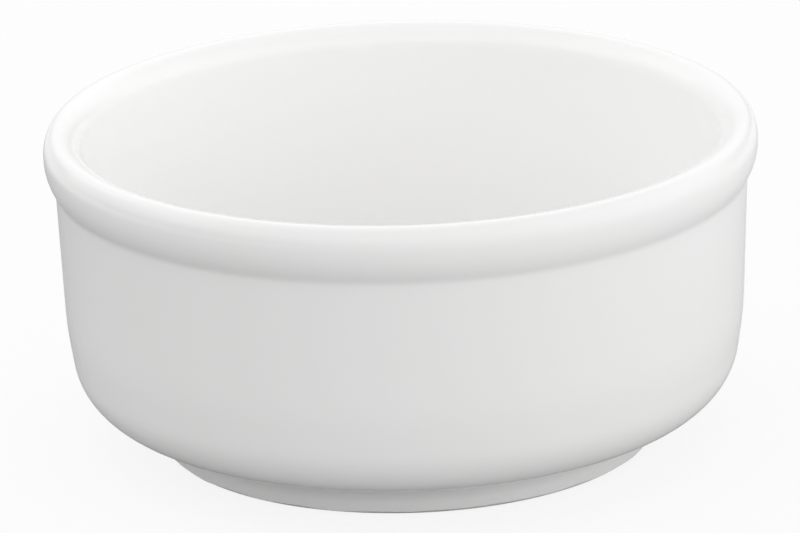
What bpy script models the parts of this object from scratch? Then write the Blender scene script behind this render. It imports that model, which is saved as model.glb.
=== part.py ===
"""Katori bowl: a small round serving bowl in glazed porcelain, with a rolled rim and a foot ring.

Lengths are in metres and +Z is up. The origin is the centre of the ring that the bowl stands on.
The bowl is turned about Z, so each piece is a section in the plane of radius r and height z, swept
round by a Screw modifier. A section is walked with the piece on its right-hand side, so that the
walk goes down the outside of the bowl and the faces point out.
"""
import math

import bpy
from mathutils import Vector

# Overall size
RIM_RADIUS = 0.0500
HEIGHT = 0.0460

# Rolled rim: a bead that stands proud of the wall outside and rounds over into it inside
LIP_ROUND = 0.0032
CREST_ROUND = 0.0014
SHOULDER_INSET = 0.0011
SHOULDER_DROP = 0.0019
SHOULDER_ROUND = 0.0045
BEAD_HEIGHT = 0.0080
BEAD_PROUD = 0.0015
BEAD_UNDERSIDE = 0.0025
BEAD_ROUND = 0.0070
CREASE_ROUND = 0.0020

# Wall: nearly upright down to a soft bend, then drawn in a little more to the belly
WALL_THICKNESS = 0.0036
BEND_HEIGHT = 0.0180
BEND_INSET = 0.0008
BEND_ROUND = 0.0400
BELLY_INSET = 0.0019
BELLY_ROUND = 0.0088
INNER_ROUND = 0.0100

# Base and foot ring
FLOOR_THICKNESS = 0.0043
FOOT_HEIGHT = 0.0052
FOOT_RADIUS = 0.0349
FOOT_WIDTH = 0.0042
FOOT_FLARE = 0.0010
NECK_ROUND = 0.0030
RECESS_DEPTH = 0.0036
RECESS_ROUND = 0.0015
RECESS_DRAFT = 0.0008
FOOT_EDGE_ROUND = 0.0003

# Coats of glaze, which stop short of the table and leave the foot ring bare
GLAZE_THICKNESS = 0.00035
GLAZE_CLEARANCE = 0.0003
BARE_HEIGHT = 0.0005

# Fineness of the turned surfaces
TURN_STEPS = 48
ARC_STEP = math.radians(23)
MERGE_DISTANCE = 0.00001

# Finishes: colour, roughness
FIRED_CLAY = ((0.80, 0.78, 0.74, 1.0), 0.65)
WHITE_GLAZE = ((0.86, 0.855, 0.84, 1.0), 0.12)


def clear_scene():
    """Remove every object that the file opened with."""
    for old in list(bpy.data.objects):
        bpy.data.objects.remove(old, do_unlink=True)


def corner_reaches(places, radii, turns):
    """How far from its corner each rounding starts, drawn back where two of them share too short a side."""
    wanted = [0.0] + [radius * math.tan(abs(turn) / 2) for radius, turn in zip(radii[1:-1], turns)] + [0.0]
    reaches = list(wanted)
    for i in range(len(places) - 1):
        length = (places[i + 1] - places[i]).length
        share = length / max(wanted[i] + wanted[i + 1], length)
        reaches[i] = min(reaches[i], wanted[i] * share)
        reaches[i + 1] = min(reaches[i + 1], wanted[i + 1] * share)
    return reaches


def rounded_walk(corners):
    """Walk the sides between corners of (r, z, rounding radius): a list of (place, outward normal)."""
    places = [Vector((r, z)) for r, z, _ in corners]
    radii = [radius for _, _, radius in corners]
    headings = [math.atan2(*reversed(b - a)) for a, b in zip(places, places[1:])]
    turns = [math.remainder(b - a, math.tau) for a, b in zip(headings, headings[1:])]
    reaches = corner_reaches(places, radii, turns)

    def outward(heading):
        return Vector((-math.sin(heading), math.cos(heading)))

    walk = [(places[0], outward(headings[0]))]
    for i, turn in enumerate(turns, start=1):
        heading = headings[i - 1]
        start = places[i] - Vector((math.cos(heading), math.sin(heading))) * reaches[i]
        # an outside corner turns right and curves about a centre in the piece, an inside one the other way
        radius = -reaches[i] / math.tan(turn / 2) if turn else 0.0
        centre = start - outward(heading) * radius
        steps = max(1, math.ceil(abs(turn) / ARC_STEP)) if reaches[i] else 0
        for step in range(steps + 1):
            normal = outward(heading + turn * step / max(steps, 1))
            walk.append((centre + normal * radius, normal))
    walk.append((places[-1], outward(headings[-1])))
    return walk


def sunk(walk, depth):
    """The walk's places, moved into the piece by depth."""
    return [place - normal * depth for place, normal in walk]


def foot_side(height):
    """Outer radius of the foot ring at a height above the table."""
    return FOOT_RADIUS - FOOT_FLARE * height / FOOT_HEIGHT


def recess_side(height):
    """Inner radius of the foot ring at a height above the table."""
    return FOOT_RADIUS - FOOT_WIDTH - RECESS_DRAFT * height / FOOT_HEIGHT


def outer_walk():
    """The finished surface from the middle of the bowl's floor, over the rim and down to the glaze's edge."""
    wall_top = RIM_RADIUS - BEAD_PROUD
    bend = wall_top - BEND_INSET
    belly = bend - BELLY_INSET
    crease_height = HEIGHT - BEAD_HEIGHT
    floor_height = RECESS_DEPTH + FLOOR_THICKNESS
    return rounded_walk([
        (0.0, floor_height, 0.0),
        (belly - WALL_THICKNESS, floor_height, INNER_ROUND),
        (bend - WALL_THICKNESS, BEND_HEIGHT, BEND_ROUND),
        (wall_top - WALL_THICKNESS, HEIGHT, LIP_ROUND),
        (RIM_RADIUS - SHOULDER_INSET, HEIGHT, CREST_ROUND),
        (RIM_RADIUS, HEIGHT - SHOULDER_DROP, SHOULDER_ROUND),
        (RIM_RADIUS, crease_height + BEAD_UNDERSIDE, BEAD_ROUND),
        (wall_top, crease_height, CREASE_ROUND),
        (bend, BEND_HEIGHT, BEND_ROUND),
        (belly, FOOT_HEIGHT, BELLY_ROUND),
        (foot_side(FOOT_HEIGHT), FOOT_HEIGHT, NECK_ROUND),
        (foot_side(BARE_HEIGHT), BARE_HEIGHT, 0.0),
    ])


def recess_walk():
    """The finished surface of the recess under the base, from the glaze's edge to the middle."""
    return rounded_walk([
        (recess_side(BARE_HEIGHT), BARE_HEIGHT, 0.0),
        (recess_side(RECESS_DEPTH), RECESS_DEPTH, RECESS_ROUND),
        (0.0, RECESS_DEPTH, 0.0),
    ])


def glaze_section(walk):
    """A coat of even thickness that follows the finished surface, as a section that starts and ends on the axis."""
    face = sunk(walk, 0.0)
    back = list(reversed(sunk(walk, GLAZE_THICKNESS)))
    return back + face if face[-1].x == 0.0 else face + back


def on_table(before, after):
    """Where the straight line through two places meets the table."""
    return after + (after - before) * (after.y / (before.y - after.y))


def clay_section():
    """The clay under both coats, and between them the bare ring that the bowl stands on."""
    cover = GLAZE_THICKNESS + GLAZE_CLEARANCE
    outside = sunk(outer_walk(), cover)
    recess = sunk(recess_walk(), cover)
    ring = rounded_walk([
        (*outside[-1], 0.0),
        (*on_table(outside[-2], outside[-1]), FOOT_EDGE_ROUND),
        (*on_table(recess[1], recess[0]), FOOT_EDGE_ROUND),
        (*recess[0], 0.0),
    ])
    return outside + sunk(ring, 0.0)[1:-1] + recess


def finish(name, colour, roughness):
    """A plain material for one piece."""
    material = bpy.data.materials.new(name)
    material.use_nodes = True
    material.diffuse_color = colour
    shader = material.node_tree.nodes["Principled BSDF"]
    shader.inputs["Base Color"].default_value = colour
    shader.inputs["Roughness"].default_value = roughness
    shader.inputs["Metallic"].default_value = 0.0
    return material


def drop_repeats(section):
    """The section without places that lie on the one before."""
    kept = [section[0]]
    for place in section[1:]:
        if (place - kept[-1]).length > MERGE_DISTANCE:
            kept.append(place)
    return kept


def turn_piece(name, section, material, collection):
    """Sweep a section that starts and ends on the axis round Z into one closed piece."""
    section = drop_repeats(section)
    edges = [(i, i + 1) for i in range(len(section) - 1)]
    mesh = bpy.data.meshes.new(name)
    mesh.from_pydata([(place.x, 0.0, place.y) for place in section], edges, [])
    mesh.materials.append(material)
    piece = bpy.data.objects.new(name, mesh)
    collection.objects.link(piece)
    screw = piece.modifiers.new("Turn", "SCREW")
    screw.axis = "Z"
    screw.angle = math.tau
    screw.steps = TURN_STEPS
    screw.render_steps = TURN_STEPS
    screw.use_merge_vertices = True
    screw.merge_threshold = MERGE_DISTANCE
    screw.use_smooth_shade = True
    return piece


def build():
    clear_scene()
    collection = bpy.data.collections.new("katori_bowl")
    bpy.context.scene.collection.children.link(collection)
    turn_piece("clay_body", clay_section(), finish("fired_clay", *FIRED_CLAY), collection)
    turn_piece("glaze_coat", glaze_section(outer_walk()), finish("white_glaze", *WHITE_GLAZE), collection)
    turn_piece("base_glaze", glaze_section(recess_walk()), finish("base_glaze", *WHITE_GLAZE), collection)


build()
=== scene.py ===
"""Looks of the katori bowl: finely turned porcelain, its finishes, the studio light and the camera.

Lengths are in metres and +Z is up. The bowl is turned about Z and stands on the plane z = 0. A section is
walked in the plane of radius and height with the piece on its right-hand side, so it goes down the outside.
"""
import math

import bpy
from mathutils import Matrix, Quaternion, Vector, noise


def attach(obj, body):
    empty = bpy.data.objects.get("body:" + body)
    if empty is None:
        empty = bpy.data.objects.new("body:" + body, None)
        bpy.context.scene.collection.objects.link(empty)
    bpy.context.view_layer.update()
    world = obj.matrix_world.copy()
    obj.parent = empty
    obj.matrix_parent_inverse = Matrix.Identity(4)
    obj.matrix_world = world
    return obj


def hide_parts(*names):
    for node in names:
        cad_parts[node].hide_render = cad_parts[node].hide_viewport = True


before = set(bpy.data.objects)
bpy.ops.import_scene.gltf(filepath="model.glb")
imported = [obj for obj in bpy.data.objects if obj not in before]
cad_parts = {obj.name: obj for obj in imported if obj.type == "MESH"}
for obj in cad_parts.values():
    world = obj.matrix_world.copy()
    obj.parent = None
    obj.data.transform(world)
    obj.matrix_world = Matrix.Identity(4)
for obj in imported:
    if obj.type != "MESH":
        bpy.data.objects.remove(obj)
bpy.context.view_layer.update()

# Overall size
RIM_RADIUS = 0.0500
HEIGHT = 0.0460

# Rolled rim
LIP_ROUND = 0.0032
CREST_ROUND = 0.0014
SHOULDER_INSET = 0.0011
SHOULDER_DROP = 0.0019
SHOULDER_ROUND = 0.0045
BEAD_HEIGHT = 0.0080
BEAD_PROUD = 0.0015
BEAD_UNDERSIDE = 0.0025
BEAD_ROUND = 0.0070
CREASE_ROUND = 0.0020

# Wall
WALL_THICKNESS = 0.0036
BEND_HEIGHT = 0.0180
BEND_INSET = 0.0008
BEND_ROUND = 0.0400
BELLY_INSET = 0.0019
BELLY_ROUND = 0.0088
INNER_ROUND = 0.0100

# Base and foot ring
FLOOR_THICKNESS = 0.0043
FOOT_HEIGHT = 0.0052
FOOT_RADIUS = 0.0349
FOOT_WIDTH = 0.0042
FOOT_FLARE = 0.0010
NECK_ROUND = 0.0030
RECESS_DEPTH = 0.0036
RECESS_ROUND = 0.0015
RECESS_DRAFT = 0.0008
FOOT_EDGE_ROUND = 0.0003

# Coats of glaze; the clay lies just inside them
GLAZE_THICKNESS = 0.00035
SEAT_GAP = 0.00002
BARE_HEIGHT = 0.0005

# Unevenness from turning, firing and wiping the foot
WAVE_DEPTH = 0.00006
WAVE_LENGTH = 0.018
STILL_HEIGHT = 0.0030
EDGE_WAVER = 0.00016
EDGE_WAVER_LENGTH = 0.0060
EDGE_REACH = 0.0012
POOL_REACH = 0.0011

# Fineness of the turned surfaces
TURN_STEPS = 256
ARC_STEP = math.radians(5)
RUN_STEP = 0.0016
COAT_EDGE_STEPS = 8
MERGE_DISTANCE = 0.00002

# Colours
GLAZE_WHITE = (0.960, 0.959, 0.957, 1.0)
GLAZE_WARM = (0.956, 0.953, 0.948, 1.0)
GLAZE_DEEP = (0.905, 0.900, 0.890, 1.0)
CLAY_PALE = (0.82, 0.80, 0.76, 1.0)
CLAY_DARK = (0.77, 0.75, 0.71, 1.0)
CLAY_RUBBED = (0.60, 0.58, 0.55, 1.0)
WHITE_LIGHT = (1.0, 1.0, 1.0, 1.0)
FLOOR_SEEN = (0.90, 0.90, 0.90, 1.0)
# Colour the floor throws light back with: painted shade at the left, painted light at the right
BOUNCE_LEFT_PAINTED_SHADE = (0.34, 0.34, 0.34, 1.0)
BOUNCE_RIGHT_PAINTED_LIGHT = (0.72, 0.72, 0.72, 1.0)

# Glaze: slow drifts of tone and of gloss, a deeper tone where it gathers, long ripples and a fine orange peel
TONE_LENGTH = 0.035
TONE_SPAN = (0.3, 0.7)
GATHERED_SHARE = 0.12
GLOSS_LENGTH = 0.012
GLOSS_SPAN = (0.25, 0.75)
GLAZE_ROUGHNESS = (0.13, 0.19)
GLAZE_IOR = 1.5
RIPPLE_LENGTH = 0.008
RIPPLE_DEPTH = 0.00002
PEEL_LENGTH = 0.0011
PEEL_DEPTH = 0.000002

# Bare clay: a fine grain, and patches that have rubbed on the table
GRAIN_LENGTH = 0.0004
GRAIN_SPAN = (0.3, 0.7)
GRAIN_DEPTH = 0.00001
CLAY_ROUGHNESS = (0.60, 0.72)
RUBBED_HEIGHT = 0.0003
PATCH_LENGTH = 0.003
PATCH_SPAN = (0.35, 0.65)

# Detail of the noises, from soft to crisp
SOFT_NOISE = 2.0
PATCHY_NOISE = 3.0
CRISP_NOISE = 4.0

# Directions
RIGHTWARD = (1.0, 0.0, 0.0)
BACKWARD = (0.0, 1.0, 0.0)
UPWARD = (0.0, 0.0, 1.0)

# Floor
FLOOR_HALF = 3.0
FLOOR_DROP = -0.00005
FLOOR_ROUGHNESS = 0.9
FLOOR_LIFT = 0.85
# How far to each side the floor's bounce colour runs from painted shade at the left to painted light at the
# right
BOUNCE_REACH = 0.15
MIRRORED_FROM = 0.14
MIRRORED_BY = 0.30

# Light: a sky in bands of height, the low one with its own strengths at the back, and a soft lamp. A band
# goes evenly from its strength at the left to the one at the right.
LOW_SKY = (0.0, 1.54)
MIDDLE_SKY = (1.20, 1.38)
HIGH_SKY = (0.67, 0.54)
MIDDLE_HEIGHT = 0.50
HIGH_HEIGHT = 0.92
BACK_SKY = (0.85, 0.48)
BACK_FROM = 0.2
BACK_BY = 0.8
LAMP_PLACE = Vector((-0.69, 0.147, 0.495))
LAMP_AIM = Vector((0.0, 0.0, 0.02))
LAMP_SIZE = 1.0
LAMP_WATTS = 1.47

# Camera
CAMERA_PLACE = Vector((0.0, -0.94826, 0.34249))
CAMERA_AIM = Vector((-0.00055, 0.0, 0.02422))
CAMERA_ROLL = math.radians(-1.626)
CAMERA_LENS = 319.87
SENSOR_WIDTH = 36.0
CAMERA_CLIPS = (0.1, 20.0)


def corner_reaches(places, radii, turns):
    """How far from its corner each rounding starts, drawn back where two of them share too short a side."""
    wanted = [0.0] + [radius * math.tan(abs(turn) / 2) for radius, turn in zip(radii[1:-1], turns)] + [0.0]
    reaches = list(wanted)
    for i in range(len(places) - 1):
        length = (places[i + 1] - places[i]).length
        share = length / max(wanted[i] + wanted[i + 1], length)
        reaches[i] = min(reaches[i], wanted[i] * share)
        reaches[i + 1] = min(reaches[i + 1], wanted[i + 1] * share)
    return reaches


def rounded_walk(corners):
    """Walk the sides between corners of (r, z, rounding radius): a list of (place, outward normal)."""
    places = [Vector((r, z)) for r, z, _ in corners]
    radii = [radius for _, _, radius in corners]
    headings = [math.atan2(*reversed(b - a)) for a, b in zip(places, places[1:])]
    turns = [math.remainder(b - a, math.tau) for a, b in zip(headings, headings[1:])]
    reaches = corner_reaches(places, radii, turns)

    def outward(heading):
        return Vector((-math.sin(heading), math.cos(heading)))

    walk = [(places[0], outward(headings[0]))]
    for i, turn in enumerate(turns, start=1):
        heading = headings[i - 1]
        start = places[i] - Vector((math.cos(heading), math.sin(heading))) * reaches[i]
        radius = -reaches[i] / math.tan(turn / 2) if turn else 0.0
        centre = start - outward(heading) * radius
        steps = max(1, math.ceil(abs(turn) / ARC_STEP)) if reaches[i] else 0
        for step in range(steps + 1):
            normal = outward(heading + turn * step / max(steps, 1))
            walk.append((centre + normal * radius, normal))
    walk.append((places[-1], outward(headings[-1])))
    return walk


def refined(walk):
    """The walk without repeats, and with places added along its longer steps."""
    fine = [walk[0]]
    for place, normal in walk[1:]:
        start, start_normal = fine[-1]
        length = (place - start).length
        if length < MERGE_DISTANCE:
            continue
        parts = math.ceil(length / RUN_STEP)
        for part in range(1, parts + 1):
            share = part / parts
            fine.append((start.lerp(place, share), start_normal.lerp(normal, share).normalized()))
    return fine


def foot_side(height):
    """Outer radius of the foot ring at a height above the table."""
    return FOOT_RADIUS - FOOT_FLARE * height / FOOT_HEIGHT


def recess_side(height):
    """Inner radius of the foot ring at a height above the table."""
    return FOOT_RADIUS - FOOT_WIDTH - RECESS_DRAFT * height / FOOT_HEIGHT


def outer_walk():
    """The finished surface from the middle of the bowl's floor, over the rim and down to the glaze's edge."""
    wall_top = RIM_RADIUS - BEAD_PROUD
    bend = wall_top - BEND_INSET
    belly = bend - BELLY_INSET
    crease_height = HEIGHT - BEAD_HEIGHT
    floor_height = RECESS_DEPTH + FLOOR_THICKNESS
    return refined(rounded_walk([
        (0.0, floor_height, 0.0),
        (belly - WALL_THICKNESS, floor_height, INNER_ROUND),
        (bend - WALL_THICKNESS, BEND_HEIGHT, BEND_ROUND),
        (wall_top - WALL_THICKNESS, HEIGHT, LIP_ROUND),
        (RIM_RADIUS - SHOULDER_INSET, HEIGHT, CREST_ROUND),
        (RIM_RADIUS, HEIGHT - SHOULDER_DROP, SHOULDER_ROUND),
        (RIM_RADIUS, crease_height + BEAD_UNDERSIDE, BEAD_ROUND),
        (wall_top, crease_height, CREASE_ROUND),
        (bend, BEND_HEIGHT, BEND_ROUND),
        (belly, FOOT_HEIGHT, BELLY_ROUND),
        (foot_side(FOOT_HEIGHT), FOOT_HEIGHT, NECK_ROUND),
        (foot_side(BARE_HEIGHT), BARE_HEIGHT, 0.0),
    ]))


def recess_walk():
    """The finished surface of the recess under the base, from the glaze's edge to the middle."""
    return refined(rounded_walk([
        (recess_side(BARE_HEIGHT), BARE_HEIGHT, 0.0),
        (recess_side(RECESS_DEPTH), RECESS_DEPTH, RECESS_ROUND),
        (0.0, RECESS_DEPTH, 0.0),
    ]))


def coat_edge(place, normal, heading):
    """The half-round edge of a coat of glaze, as (place, normal, depth), from its face to its back."""
    half = GLAZE_THICKNESS / 2
    edge = []
    for step in range(1, COAT_EDGE_STEPS):
        angle = math.pi * step / COAT_EDGE_STEPS
        edge.append((place + heading * (half * math.sin(angle)), normal, half * (1 - math.cos(angle))))
    return edge


def glaze_section(walk):
    """A coat of even thickness behind the finished surface, as (place, normal, depth) from axis to axis."""
    face = [(place, normal, 0.0) for place, normal in walk]
    back = [(place, normal, GLAZE_THICKNESS) for place, normal in reversed(walk)]
    if walk[0][0].x == 0.0:
        place, normal = walk[-1]
        heading = (place - walk[-2][0]).normalized()
        return face + coat_edge(place, normal, heading) + back
    place, normal = walk[0]
    heading = (place - walk[1][0]).normalized()
    return back + coat_edge(place, normal, heading)[::-1] + face


def clay_section():
    """The clay under both coats, and between them the bare ring that the bowl stands on."""
    cover = GLAZE_THICKNESS + SEAT_GAP
    outside = outer_walk()
    recess = recess_walk()
    start = outside[-1][0] - outside[-1][1] * cover
    end = recess[0][0] - recess[0][1] * cover
    ring = refined(rounded_walk([
        (start.x, start.y, 0.0),
        (start.x - (foot_side(start.y) - foot_side(0.0)), 0.0, FOOT_EDGE_ROUND),
        (end.x + (recess_side(0.0) - recess_side(end.y)), 0.0, FOOT_EDGE_ROUND),
        (end.x, end.y, 0.0),
    ]))
    under_coat = [(place, normal, cover) for place, normal in outside]
    bare = [(place, normal, 0.0) for place, normal in ring[1:-1]]
    in_recess = [(place, normal, cover) for place, normal in recess]
    return under_coat + bare + in_recess


def around(angle, radius, height):
    """The place at an angle and a radius round Z."""
    return Vector((radius * math.cos(angle), radius * math.sin(angle), height))


def waviness(angle, place):
    """How far the fired surface lies inside the ideal one. It dies out towards the flat foot."""
    still = min(1.0, max(0.0, place.y / STILL_HEIGHT))
    wave = noise.noise(around(angle, place.x, place.y) / WAVE_LENGTH)
    return WAVE_DEPTH * still * min(1.0, max(0.0, 0.5 + 0.5 * wave))


def edge_waver(angle, place):
    """How far the wiped edge of the glaze wanders up or down, fading out above it."""
    nearness = max(0.0, 1.0 - (place.y - BARE_HEIGHT) / EDGE_REACH)
    wander = noise.noise(around(angle, place.x, 0.0) / EDGE_WAVER_LENGTH)
    return EDGE_WAVER * nearness * wander


def pooled(place):
    """How much glaze has gathered at a place: most in the crease under the rim and in the foot's neck."""
    crease = Vector((RIM_RADIUS - BEAD_PROUD, HEIGHT - BEAD_HEIGHT))
    neck = Vector((foot_side(FOOT_HEIGHT), FOOT_HEIGHT))
    return max(math.exp(-((place - spot).length / POOL_REACH) ** 2) for spot in (crease, neck))


def turned(name, section, material, node, wavering=False):
    """Sweep a section that runs from axis to axis round Z, and let the piece stand for a node."""
    points = []
    pools = []
    rings = []
    for place, normal, depth in section:
        on_axis = place.x < MERGE_DISTANCE
        first = len(points)
        for step in range(1 if on_axis else TURN_STEPS):
            angle = math.tau * step / TURN_STEPS
            spot = place - normal * (depth + waviness(angle, place))
            rise = edge_waver(angle, place) if wavering else 0.0
            points.append(around(angle, 0.0 if on_axis else spot.x, spot.y + rise))
            pools.append(pooled(place))
        rings.append([first] * TURN_STEPS if on_axis else list(range(first, first + TURN_STEPS)))
    faces = []
    for ring, below in zip(rings, rings[1:]):
        for step in range(TURN_STEPS):
            after = (step + 1) % TURN_STEPS
            corners = (ring[step], below[step], below[after], ring[after])
            faces.append(tuple(dict.fromkeys(corners)))
    mesh = bpy.data.meshes.new(name)
    mesh.from_pydata(points, [], faces)
    mesh.shade_smooth()
    mesh.attributes.new("pooling", "FLOAT", "POINT").data.foreach_set("value", pools)
    mesh.materials.append(material)
    piece = bpy.data.objects.new(name, mesh)
    bpy.context.scene.collection.objects.link(piece)
    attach(piece, "root")
    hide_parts(node)


class Shading:
    """The node tree of a material or of the world, with short ways to add nodes to it."""

    def __init__(self, owner, coordinates="Object"):
        owner.use_nodes = True
        self.owner = owner
        self.tree = owner.node_tree
        self.shader = self.tree.nodes.get("Principled BSDF") or self.tree.nodes["Background"]
        self.spot = self.add("ShaderNodeTexCoord").outputs[coordinates]

    def add(self, kind, **settings):
        node = self.tree.nodes.new(kind)
        for key, value in settings.items():
            setattr(node, key, value)
        return node

    def feed(self, value, socket):
        """Give a socket another node's output, or a value of its own."""
        if isinstance(value, bpy.types.NodeSocket):
            self.tree.links.new(value, socket)
        else:
            socket.default_value = value

    def noise(self, length, detail=SOFT_NOISE):
        """Noise from 0 to 1 whose features are about this long."""
        node = self.add("ShaderNodeTexNoise")
        self.feed(self.spot, node.inputs["Vector"])
        self.feed(1.0 / length, node.inputs["Scale"])
        self.feed(detail, node.inputs["Detail"])
        return node.outputs["Fac"]

    def along(self, axis):
        """How far the coordinates reach along an axis."""
        node = self.add("ShaderNodeVectorMath", operation="DOT_PRODUCT")
        self.feed(self.spot, node.inputs[0])
        self.feed(axis, node.inputs[1])
        return node.outputs["Value"]

    def spread(self, value, start, end, low=0.0, high=1.0, kind="LINEAR"):
        """Map the range from start to end onto the one from low to high."""
        node = self.add("ShaderNodeMapRange", interpolation_type=kind)
        names = ("Value", "From Min", "From Max", "To Min", "To Max")
        for name, given in zip(names, (value, start, end, low, high)):
            self.feed(given, node.inputs[name])
        return node.outputs["Result"]

    def maths(self, operation, first, second):
        node = self.add("ShaderNodeMath", operation=operation)
        self.feed(first, node.inputs[0])
        self.feed(second, node.inputs[1])
        return node.outputs["Value"]

    def blend(self, share, first, second):
        """Mix two colours; a share of 0 is the first one."""
        node = self.add("ShaderNodeMix", data_type="RGBA")
        colours = [socket for socket in node.inputs if socket.type == "RGBA"]
        self.feed(share, node.inputs[0])
        self.feed(first, colours[0])
        self.feed(second, colours[1])
        return next(socket for socket in node.outputs if socket.type == "RGBA")

    def bumps(self, layers):
        """Stack bumps of (height output, depth in metres) on the shader's normal."""
        normal = None
        for height, depth in layers:
            node = self.add("ShaderNodeBump")
            self.feed(depth, node.inputs["Distance"])
            self.feed(height, node.inputs["Height"])
            if normal:
                self.feed(normal, node.inputs["Normal"])
            normal = node.outputs["Normal"]
        self.feed(normal, self.shader.inputs["Normal"])


def glaze_finish():
    """Clear glaze over white porcelain: faint drifts of tone, a little deeper where it has gathered."""
    look = Shading(bpy.data.materials.new("white_glaze"))
    drift = look.spread(look.noise(TONE_LENGTH), *TONE_SPAN)
    body = look.blend(drift, GLAZE_WHITE, GLAZE_WARM)
    gathered = look.add("ShaderNodeAttribute", attribute_name="pooling").outputs["Fac"]
    gathered = look.maths("MULTIPLY", gathered, GATHERED_SHARE)
    look.feed(look.blend(gathered, body, GLAZE_DEEP), look.shader.inputs["Base Color"])
    gloss = look.spread(look.noise(GLOSS_LENGTH, CRISP_NOISE), *GLOSS_SPAN, *GLAZE_ROUGHNESS)
    look.feed(gloss, look.shader.inputs["Roughness"])
    look.feed(GLAZE_IOR, look.shader.inputs["IOR"])
    look.bumps([(look.noise(RIPPLE_LENGTH), RIPPLE_DEPTH), (look.noise(PEEL_LENGTH), PEEL_DEPTH)])
    return look.owner


def clay_finish():
    """Fired clay where it is bare: matt, finely grained, and greyed where it rubs on the table."""
    look = Shading(bpy.data.materials.new("fired_clay"))
    relief = look.noise(GRAIN_LENGTH, CRISP_NOISE)
    grain = look.spread(relief, *GRAIN_SPAN)
    body = look.blend(grain, CLAY_PALE, CLAY_DARK)
    rubbed = look.spread(look.along(UPWARD), RUBBED_HEIGHT, 0.0)
    patches = look.spread(look.noise(PATCH_LENGTH, PATCHY_NOISE), *PATCH_SPAN)
    worn = look.maths("MULTIPLY", rubbed, patches)
    look.feed(look.blend(worn, body, CLAY_RUBBED), look.shader.inputs["Base Color"])
    look.feed(look.spread(grain, 0.0, 1.0, *CLAY_ROUGHNESS), look.shader.inputs["Roughness"])
    look.bumps([(relief, GRAIN_DEPTH)])
    return look.owner


def pale_floor():
    """A wide floor that takes the bowl's shadow, lifted to white where it is seen or mirrored from afar; the
    colour it throws light back with is painted darker at the left and paler at the right, painted shade and
    painted light.
    """
    look = Shading(bpy.data.materials.new("pale_floor"))
    rays = look.add("ShaderNodeLightPath").outputs
    reach = look.add("ShaderNodeVectorMath", operation="LENGTH")
    look.feed(look.spot, reach.inputs[0])
    afar = look.spread(reach.outputs["Value"], MIRRORED_FROM, MIRRORED_BY, kind="SMOOTHSTEP")
    mirrored = look.maths("MAXIMUM", rays["Is Glossy Ray"], rays["Is Transmission Ray"])
    seen = look.maths("MAXIMUM", rays["Is Camera Ray"], look.maths("MULTIPLY", mirrored, afar))
    # Painted light: the floor's bounce colour goes from painted shade at the left to painted light at the
    # right
    across = look.spread(look.along(RIGHTWARD), -BOUNCE_REACH, BOUNCE_REACH)
    painted_light_bounce = look.blend(across, BOUNCE_LEFT_PAINTED_SHADE, BOUNCE_RIGHT_PAINTED_LIGHT)
    look.feed(look.blend(seen, painted_light_bounce, FLOOR_SEEN), look.shader.inputs["Base Color"])
    look.feed(FLOOR_ROUGHNESS, look.shader.inputs["Roughness"])
    look.feed(0.0, look.shader.inputs["Specular IOR Level"])
    white = look.add("ShaderNodeEmission").outputs["Emission"]
    lifted = look.add("ShaderNodeMixShader")
    look.feed(look.maths("MULTIPLY", seen, FLOOR_LIFT), lifted.inputs[0])
    look.feed(look.shader.outputs["BSDF"], lifted.inputs[1])
    look.feed(white, lifted.inputs[2])
    look.feed(lifted.outputs["Shader"], look.tree.nodes["Material Output"].inputs["Surface"])
    look.owner.cycles.emission_sampling = "NONE"
    mesh = bpy.data.meshes.new("floor")
    corners = [(x * FLOOR_HALF, y * FLOOR_HALF, FLOOR_DROP) for x, y in ((-1, -1), (1, -1), (1, 1), (-1, 1))]
    mesh.from_pydata(corners, [], [(0, 1, 2, 3)])
    mesh.materials.append(look.owner)
    floor = bpy.data.objects.new("floor", mesh)
    bpy.context.scene.collection.objects.link(floor)


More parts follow.
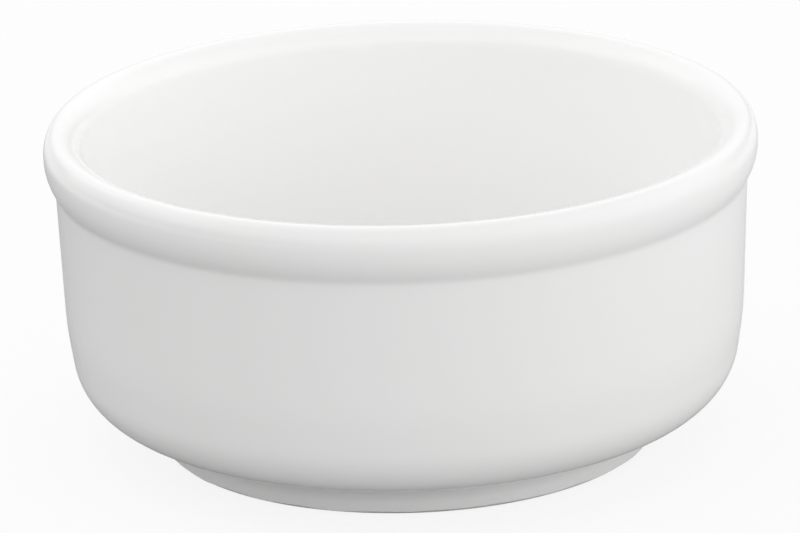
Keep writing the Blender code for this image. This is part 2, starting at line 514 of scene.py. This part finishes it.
def soft_lamp():
    """A square soft lamp at the left that faces the bowl."""
    lamp = bpy.data.lights.new("left_lamp", "AREA")
    lamp.size = LAMP_SIZE
    lamp.energy = LAMP_WATTS
    holder = bpy.data.objects.new("left_lamp", lamp)
    holder.location = LAMP_PLACE
    holder.rotation_mode = "QUATERNION"
    holder.rotation_quaternion = (LAMP_AIM - LAMP_PLACE).to_track_quat("-Z", "Y")
    holder.visible_camera = False
    bpy.context.scene.collection.objects.link(holder)


def room_light():
    """Soft light from the whole sky: low down from the right and from behind, and nearly even above."""
    look = Shading(bpy.data.worlds.new("studio"), "Generated")
    across = look.along(RIGHTWARD)
    bands = (LOW_SKY, BACK_SKY, MIDDLE_SKY, HIGH_SKY)
    front, back, middle, high = (look.spread(across, -1.0, 1.0, *ends) for ends in bands)
    behind = look.spread(look.along(BACKWARD), BACK_FROM, BACK_BY, kind="SMOOTHSTEP")
    low = look.spread(behind, 0.0, 1.0, front, back)
    height = look.along(UPWARD)
    lower = look.spread(height, 0.0, MIDDLE_HEIGHT, kind="SMOOTHSTEP")
    upper = look.spread(height, MIDDLE_HEIGHT, HIGH_HEIGHT, kind="SMOOTHSTEP")
    strength = look.spread(upper, 0.0, 1.0, look.spread(lower, 0.0, 1.0, low, middle), high)
    look.feed(WHITE_LIGHT, look.shader.inputs["Color"])
    look.feed(strength, look.shader.inputs["Strength"])
    bpy.context.scene.world = look.owner


def photo_camera():
    """A long lens that looks down at the bowl a little, with a slight roll."""
    lens = bpy.data.cameras.new("camera")
    lens.sensor_width = SENSOR_WIDTH
    lens.lens = CAMERA_LENS
    lens.clip_start, lens.clip_end = CAMERA_CLIPS
    camera = bpy.data.objects.new("camera", lens)
    camera.location = CAMERA_PLACE
    camera.rotation_mode = "QUATERNION"
    level = (CAMERA_AIM - CAMERA_PLACE).to_track_quat("-Z", "Y")
    camera.rotation_quaternion = level @ Quaternion(UPWARD, CAMERA_ROLL)
    bpy.context.scene.collection.objects.link(camera)
    bpy.context.scene.camera = camera


bpy.context.scene.view_settings.view_transform = "Standard"
photo_camera()
pale_floor()
room_light()
soft_lamp()

glaze = glaze_finish()
turned("bowl_glaze", glaze_section(outer_walk()), glaze, "glaze_coat", wavering=True)
turned("recess_glaze", glaze_section(recess_walk()), glaze, "base_glaze", wavering=True)
turned("bowl_clay", clay_section(), clay_finish(), "clay_body")
